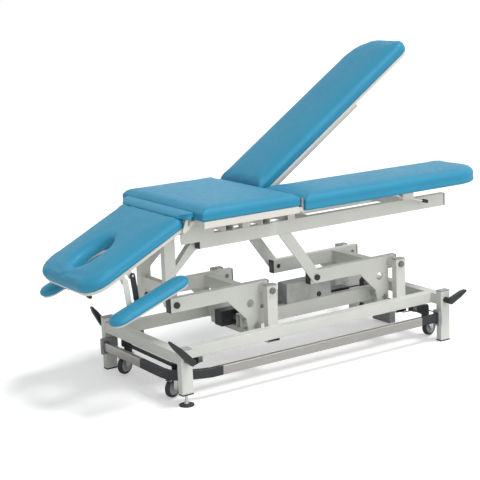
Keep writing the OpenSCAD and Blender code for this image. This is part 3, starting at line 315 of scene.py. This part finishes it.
def levers():
    """Chromed rods with black grips at both ends of the head handle and at the end of each leg lever."""
    handle_y, grip_from, rod_share = -0.04, 0.0895, 0.86
    y = centres("head_handle")[:, 1]
    finished("head_handle", CHROME, BLACK)
    grouped("head_handle", np.abs(y - handle_y) > grip_from)
    rounded("head_handle", 0.0012)
    for side in SIDES:
        node = "leg_lever_" + side
        c = centres(node)
        finished(node, CHROME, BLACK)
        span = c[:, 0] - c[:, 0].min()
        grouped(node, span > span.max() * rod_share)
        rounded(node, 0.001)


def caps():
    """Grey caps on the posts and black rubber feet under them."""
    caps_from = 0.2
    finished("post_caps", BLACK, CAP)
    grouped("post_caps", centres("post_caps")[:, 2] > caps_from)
    rounded("post_caps", 0.0012)


def screw_foot():
    """Black disc under a plated stem and nut."""
    disc_top = 0.0092
    finished("levelling_foot", BLACK, ZINC)
    grouped("levelling_foot", centres("levelling_foot")[:, 2] > disc_top)
    rounded("levelling_foot", 0.0006)


def junction_box():
    """Grey box and sockets, with the cable in its black sheath."""
    cable_from, cable_to, cable_x = 0.0115, -0.292, 0.6
    x, y = centres("base_fittings").T[:2]
    finished("base_fittings", GREY_AND_SHADE, CABLE)
    grouped("base_fittings", (y < cable_from) & (y > cable_to) & (x > cable_x))
    rounded("base_fittings", 0.0012)


def leg_boards():
    """The vinyl wraps the outer edges of the boards under the leg pads; their inner edges stay painted.
    The hinge arms between the pads are dark grey as painted shade for the gap between the pads."""
    board_under, board_top, inner_y, shaded_arms_from = -0.0475, -0.0345, 0.03, -0.034
    for side, angle in LEG_RAISE.items():
        node = "leg_frame_" + side
        mesh = NODES[node].data
        normal = np.empty(len(mesh.polygons) * 3)
        mesh.polygons.foreach_get("normal", normal)
        normal = normal.reshape(-1, 3)
        place = centres(node) - (LEG_HINGE[0] + SHIFT, 0, LEG_HINGE[2])
        a = np.radians(angle)
        z = -place[:, 0] * np.sin(a) + place[:, 2] * np.cos(a)
        level = -normal[:, 0] * np.sin(a) + normal[:, 2] * np.cos(a)
        finished(node, BOARD, VINYL, GREY_AND_SHADE)
        edge = (np.abs(level) < 0.5) & (z > board_under) & (z < board_top)
        outer = np.abs(place[:, 1]) > inner_y
        # Painted shade: faces of the hinge arms above the board, in the gap between the pads, take dark
        # grey.
        grouped(node, np.where(z > shaded_arms_from, 2, edge & outer))


def hinges():
    """Cream cheeks and lugs, with the tips of the hinge ears dark grey between the pads as painted shade for
    the gap.
    """
    shaded_ears_from = 0.705
    finished("hinge_plates", PAINT, GREY_AND_SHADE)
    # Painted shade: the ear tips in the gap between the pads take dark grey.
    grouped("hinge_plates", centres("hinge_plates")[:, 2] > shaded_ears_from)
    rounded("hinge_plates", 0.0008)


def drive():
    """Actuator with a black motor and gear box; control box with a dark knob, and darker grey painted on its
    left end as painted shade.
    """
    gear_end, motor_side, knob_face, painted_shade_end = -0.199, 0.012, -0.0631, 0.026
    x, y = centres("actuator_body").T[:2]
    finished("actuator_body", GREY_AND_SHADE, BLACK)
    grouped("actuator_body", (x < gear_end + SHIFT) | (y < motor_side))
    rounded("actuator_body", 0.002)
    x, y = centres("control_box").T[:2]
    finished("control_box", BOX, GREY_AND_SHADE, BLACK)
    # Painted shade: the box's left end takes the darker grey for the shadow on that face.
    grouped("control_box", np.where(y < knob_face, 2, x < x.min() + painted_shade_end))
    rounded("control_box", 0.003)


wheels()
levers()
caps()
screw_foot()
leg_boards()
hinges()
junction_box()
drive()


# Upholstered pads

CORNER_X = np.array([-1, 1, 1, -1])
CORNER_Y = np.array([-1, -1, 1, 1])
PRESSURE = 4.0
FRAMES = 20
SWELL = 0.002  # room left in each pad's thickness for its stuffing
HELD = 0.002  # height above its underside up to which a pad is held
HALF_W = 0.325
PAD_T = 0.058
FOLD = 0.025
END_R = 0.012
MID_Z = 0.711


def outline(size, radii, in0, in1, inset, arc=12, run=26):
    """Rounded rectangle x0..x1, y0..y1 drawn in from its edges: arcs of the corner radii less the inset,
    joined by straight runs."""
    x0, x1, y0, y1 = size
    r = np.maximum(np.array(radii) - inset, 0.003)[:, None]
    turn = np.radians(180 + 90 * np.arange(4)[:, None] + 90 * np.linspace(0, 1, arc)[None])
    cx = np.where(CORNER_X[:, None] < 0, x0 + in0 + r, x1 - in1 - r)
    cy = np.where(CORNER_Y[:, None] < 0, y0 + inset + r, y1 - inset - r)
    arcs = np.stack([cx + r * np.cos(turn), cy + r * np.sin(turn)], -1)
    t = (np.arange(1, run + 1) / (run + 1))[None, :, None]
    runs = arcs[:, -1:, :] * (1 - t) + np.roll(arcs, -1, 0)[:, :1, :] * t
    return np.concatenate([arcs, runs], 1).reshape(-1, 2)


def pad_rows(size, radii, z0, thick, fold, rim, crown):
    """Rows of a pad from its underside to the middle of its top: hem, waist, side, round edge and crown.
    Every row is an outline drawn in; at a folded end the upper edge is cut at 45 degrees."""
    side_top = z0 + thick - crown - rim
    turn = np.radians(np.arange(15, 91, 15))
    levels = [(0.012, z0), (0.006, z0), (0.0022, z0 + 0.004), (0.0025, z0 + thick * 0.35), (0, side_top)]
    levels += [(rim * (1 - np.cos(a)), side_top + rim * np.sin(a)) for a in turn]
    most = min(size[1] - size[0], size[3] - size[2]) / 2
    levels += [(rim + (most - rim) * s, z0 + thick - crown * (1 - s) ** 2 * (1 - s / 2))
               for s in (0.12, 0.3, 0.55, 0.8)]
    rows = []
    for inset, z in levels:
        ends = [max(inset, inset / 2 + max(0, z - z0 - thick + f)) if f else inset for f in fold]
        flat = outline(size, radii, ends[0], ends[1], inset)
        rows.append(np.column_stack([flat, np.full(len(flat), z)]))
    return np.array(rows)


def quads(rows, columns, ring):
    """Faces of a grid of rows by columns that closes across its columns, and across its rows for a ring."""
    r = np.arange(rows if ring else rows - 1)[:, None]
    c = np.arange(columns)[None]
    up = (r + 1) % rows
    side = (c + 1) % columns
    corners = [r * columns + c, r * columns + side, up * columns + side, up * columns + c]
    return np.stack(corners, -1).reshape(-1, 4)


def capped(rows, columns):
    """Faces of a tube of rows by columns with one flat face over each end."""
    ends = [list(range(columns))[::-1], list(range((rows - 1) * columns, rows * columns))]
    return quads(rows, columns, False).tolist() + ends


def piece(name, points, faces):
    mesh = bpy.data.meshes.new(name)
    mesh.from_pydata(np.asarray(points).reshape(-1, 3).tolist(), [], [list(map(int, f)) for f in faces])
    mesh.validate()
    obj = bpy.data.objects.new(name, mesh)
    bpy.context.scene.collection.objects.link(obj)
    return obj


def points_of(mesh):
    out = np.empty(len(mesh.vertices) * 3)
    mesh.vertices.foreach_get("co", out)
    return out.reshape(-1, 3)


def applied(obj):
    """The object's mesh with its modifiers worked in."""
    graph = bpy.context.evaluated_depsgraph_get()
    new = bpy.data.meshes.new_from_object(obj.evaluated_get(graph))
    old = obj.data
    obj.modifiers.clear()
    obj.data = new
    bpy.data.meshes.remove(old)


def stuffed(obj, held, cap, voxel):
    """Even mesh by voxels, then cloth blown up from inside for 20 frames with the underside held; no point
    moves further than the cap."""
    remesh = obj.modifiers.new("even", "REMESH")
    remesh.mode = "VOXEL"
    remesh.voxel_size = voxel
    applied(obj)
    start = points_of(obj.data)
    group = obj.vertex_groups.new(name="board")
    group.add(np.nonzero(start[:, 2] < held)[0].tolist(), 1.0, "REPLACE")
    cloth = obj.modifiers.new("cloth", "CLOTH")
    cloth.settings.quality = 4
    cloth.settings.mass = 0.3
    cloth.settings.use_pressure = True
    cloth.settings.uniform_pressure_force = PRESSURE
    cloth.settings.tension_stiffness = 25
    cloth.settings.compression_stiffness = 25
    cloth.settings.shear_stiffness = 10
    cloth.settings.bending_stiffness = 1.5
    cloth.settings.vertex_group_mass = "board"
    cloth.settings.effector_weights.gravity = 0
    cloth.collision_settings.use_collision = False
    cloth.collision_settings.use_self_collision = False
    scene = bpy.context.scene
    for i in range(1, FRAMES + 1):
        scene.frame_set(i)
    applied(obj)
    scene.frame_set(1)
    move = points_of(obj.data) - start
    length = np.maximum(np.linalg.norm(move, axis=1, keepdims=True), 1e-9)
    obj.data.vertices.foreach_set("co", (start + move * np.minimum(1, cap / length)).ravel())
    obj.data.update()
    obj.vertex_groups.clear()
    smooth = obj.modifiers.new("smooth", "SMOOTH")
    smooth.factor = 0.5
    smooth.iterations = 6
    finer = obj.modifiers.new("finer", "SUBSURF")
    finer.levels = finer.render_levels = 1
    applied(obj)


def outward(mesh):
    """Every face turned to point out of the closed mesh."""
    bm = bmesh.new()
    bm.from_mesh(mesh)
    bmesh.ops.recalc_face_normals(bm, faces=bm.faces)
    bm.to_mesh(mesh)
    bm.free()


def placed(obj, hinge, angle, flip):
    """Points turned about the hinge by the angle in the X-Z plane, mirrored across Y first for the rear."""
    p = points_of(obj.data)
    if flip:
        p[:, 1] = -p[:, 1]
    a = np.radians(angle)
    x = hinge[0] + SHIFT + p[:, 0] * np.cos(a) - p[:, 2] * np.sin(a)
    z = hinge[2] + p[:, 0] * np.sin(a) + p[:, 2] * np.cos(a)
    obj.data.vertices.foreach_set("co", np.column_stack([x, p[:, 1] + hinge[1], z]).ravel())
    if flip:
        outward(obj.data)
    obj.data.update()


def covered(obj):
    """Vinyl all over, shaded smooth."""
    obj.data.materials.clear()
    obj.data.materials.append(VINYL)
    obj.data.polygons.foreach_set("use_smooth", np.ones(len(obj.data.polygons), bool))


def upholstered(obj, node, body):
    """The pad stands for its node and rides with its section."""
    covered(obj)
    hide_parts(node)
    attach(obj, body)


def flat_pad(name, node, body, size, radii, z0, thick, fold, rim=0.025, crown=0.006, voxel=0.006, cap=0.0035,
             hinge=(0, 0, 0), angle=0, flip=False, skirt=0):
    """A closed pad: rows from the underside to the top, each end closed by one flat face. A skirt draws the
    three lowest rows down over the board's edge, but for the inner side along size[3]."""
    inner, slope = 0.02, 0.06
    rows = pad_rows(size, radii, z0, thick - SWELL, fold, rim, crown)
    rows[:3, :, 2] -= skirt * np.clip((size[3] - inner - rows[:3, :, 1]) / slope, 0, 1)
    obj = piece(name, rows, capped(*rows.shape[:2]))
    stuffed(obj, z0 + HELD, cap, voxel)
    placed(obj, hinge, angle, flip)
    upholstered(obj, node, body)


def face_pad():
    """Head pad: rows run from the underside up over the rim, across the top to the edge of the face hole,
    down the hole's wall and back under."""
    size = (-0.508, -0.016, -0.236, 0.236)
    radii = (0.095, 0.040, 0.040, 0.095)
    fold = (0, 0.0125)
    z0, thick, rim, crown = -0.038, 0.050, 0.022, 0.005
    rows = pad_rows(size, radii, z0, thick - SWELL, fold, rim, crown)[:12]
    middle = np.array([-0.333, 0.0])
    half_long, half_wide, lip, shoulder = 0.095, 0.056, 0.024, 0.018
    way = rows[4][:, :2] - middle
    turn = np.arctan2(way[:, 1] / half_wide, way[:, 0] / half_long)

    def hole(out, z):
        x = middle[0] + np.cos(turn) * (half_long + out)
        y = middle[1] + np.sin(turn) * (half_wide + out)
        return np.column_stack([x, y, np.full(len(turn), z)])

    high = z0 + thick - SWELL + 0.001
    swell = 0.002
    near = hole(lip + shoulder, high)
    across = [rows[-1] * (1 - t) + near * t + np.array([0, 0, swell * np.sin(np.pi * t)])
              for t in (0.25, 0.5, 0.75)]
    edge = [hole(lip * (1 - np.sin(a)), high - lip * (1 - np.cos(a)))
            for a in np.radians([0, 20, 40, 60, 80, 90])]
    wall = [hole(-0.0015, z0 + 0.024), hole(0, z0 + 0.010), hole(0.003, z0)]
    grid = np.array(list(rows) + across + [near] + edge + wall)
    obj = piece("face_pad", grid, quads(*grid.shape[:2], True))
    stuffed(obj, z0 + HELD, 0.0035, 0.005)
    placed(obj, HEAD_HINGE, HEAD_DROP, False)
    upholstered(obj, "head_pad", "head_section")


def hinge_web():
    """Strip of vinyl over the head section's hinge from pad to pad: a closed profile carried along Y and
    drawn in at both ends."""
    x = np.array([-618, -611, -602, -592, -580, -568, -558, -560, -572, -590, -606, -618]) / 1000 + SHIFT
    z = np.array([725, 731, 736, 739.5, 742, 744, 740, 722, 714, 712, 720, 719]) / 1000
    narrow = 1 - 0.13 * np.clip((-0.583 + SHIFT - x) / 0.03, 0, 1) ** 2
    middle = np.array([x.mean(), z.mean()])
    ends = np.array([0, 0.0015, 0.005, 0.012])
    y = np.concatenate([-0.256 + ends, np.linspace(-0.22, 0.22, 23), 0.256 - ends[::-1]])
    draw = np.concatenate([[0.55, 0.82, 0.96, 1], np.ones(23), [1, 0.96, 0.82, 0.55]])
    rows = [np.column_stack([middle[0] + (x - middle[0]) * d, v * narrow, middle[1] + (z - middle[1]) * d])
            for v, d in zip(y, draw)]
    obj = piece("hinge_web", rows, capped(len(rows), len(x)))
    finer = obj.modifiers.new("finer", "SUBSURF")
    finer.levels = finer.render_levels = 2
    applied(obj)
    outward(obj.data)
    covered(obj)
    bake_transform(obj)


hinge_web()
flat_pad("back_pad", "middle_pad", "upper_frame", (-0.568, -0.090, -HALF_W, HALF_W), (END_R,) * 4, MID_Z,
         PAD_T, (FOLD, FOLD))
face_pad()
for side in SIDES:
    rear = side == "rear"
    flat_pad("leg_cushion_" + side, "leg_pad_" + side, "leg_" + side, (0.006, 1.018, -HALF_W, -0.005),
             (END_R, 0.150, 0.050, END_R), -0.035, PAD_T, (FOLD, 0), hinge=LEG_HINGE,
             angle=LEG_RAISE[side], flip=rear, skirt=0.0115)
    flat_pad("arm_cushion_" + side, "armrest_pad_" + side, "armrest_" + side, (-0.181, 0.181, -0.049, 0.049),
             (0.047,) * 4, -0.034, 0.034, (0, 0), rim=0.020, voxel=0.004, cap=0.0025,
             hinge=(-0.811, 0.299 if rear else -0.299, 0.464), angle=20.3)


# Floor, world and lamps

def studio():
    """Pale floor, white where the camera and glossy or clear surfaces see it, with soft light from above."""
    floor = piece("floor", [(-30, -30, 0), (30, -30, 0), (30, 30, 0), (-30, 30, 0)], [(0, 1, 2, 3)])
    material = bpy.data.materials.new("pale_floor")
    material.use_nodes = True
    tree = material.node_tree
    tree.nodes.clear()
    add = tree.nodes.new
    out, both, matt, glow, path = (add("ShaderNode" + kind) for kind in (
        "OutputMaterial", "AddShader", "BsdfDiffuse", "Emission", "LightPath"))
    matt.inputs["Color"].default_value = (0.86, 0.86, 0.86, 1)
    glow.inputs["Color"].default_value = (1, 1, 1, 1)
    seen = add("ShaderNodeMath")
    seen.operation = "MULTIPLY"
    seen.inputs[1].default_value = 0.34
    tree.links.new(path.outputs["Is Camera Ray"], seen.inputs[0])
    tree.links.new(seen.outputs[0], glow.inputs["Strength"])
    tree.links.new(matt.outputs[0], both.inputs[0])
    tree.links.new(glow.outputs[0], both.inputs[1])
    tree.links.new(both.outputs[0], out.inputs["Surface"])
    floor.data.materials.append(material)

    world = bpy.data.worlds.new("studio")
    bpy.context.scene.world = world
    world.use_nodes = True
    tree = world.node_tree
    tree.nodes.clear()
    add = tree.nodes.new
    out, shown, light, mix, path = (add("ShaderNode" + kind) for kind in (
        "OutputWorld", "Background", "Background", "MixShader", "LightPath"))
    shown.inputs["Strength"].default_value = 1.0
    shown.inputs["Color"].default_value = (1, 1, 1, 1)
    light.inputs["Color"].default_value = (0.97, 0.985, 1, 1)
    light.inputs["Strength"].default_value = 0.36
    one, two = add("ShaderNodeMath"), add("ShaderNodeMath")
    one.operation = two.operation = "MAXIMUM"
    tree.links.new(path.outputs["Is Camera Ray"], one.inputs[0])
    tree.links.new(path.outputs["Is Glossy Ray"], one.inputs[1])
    tree.links.new(one.outputs[0], two.inputs[0])
    tree.links.new(path.outputs["Is Transmission Ray"], two.inputs[1])
    tree.links.new(two.outputs[0], mix.inputs["Fac"])
    tree.links.new(light.outputs[0], mix.inputs[1])
    tree.links.new(shown.outputs[0], mix.inputs[2])
    tree.links.new(mix.outputs[0], out.inputs["Surface"])


def lamp(name, energy, angle, aim):
    """A soft sun that shines along aim."""
    data = bpy.data.lights.new(name, "SUN")
    data.energy = energy
    data.angle = np.radians(angle)
    obj = bpy.data.objects.new(name, data)
    obj.rotation_euler = Vector(aim).to_track_quat("-Z", "Y").to_euler()
    bpy.context.scene.collection.objects.link(obj)


studio()
lamp("key", 1.9, 18, (-0.30, 0.35, -1.0))
lamp("fill", 1.15, 50, (0.10, 1.0, -0.40))

bpy.context.scene.view_settings.view_transform = "Standard"
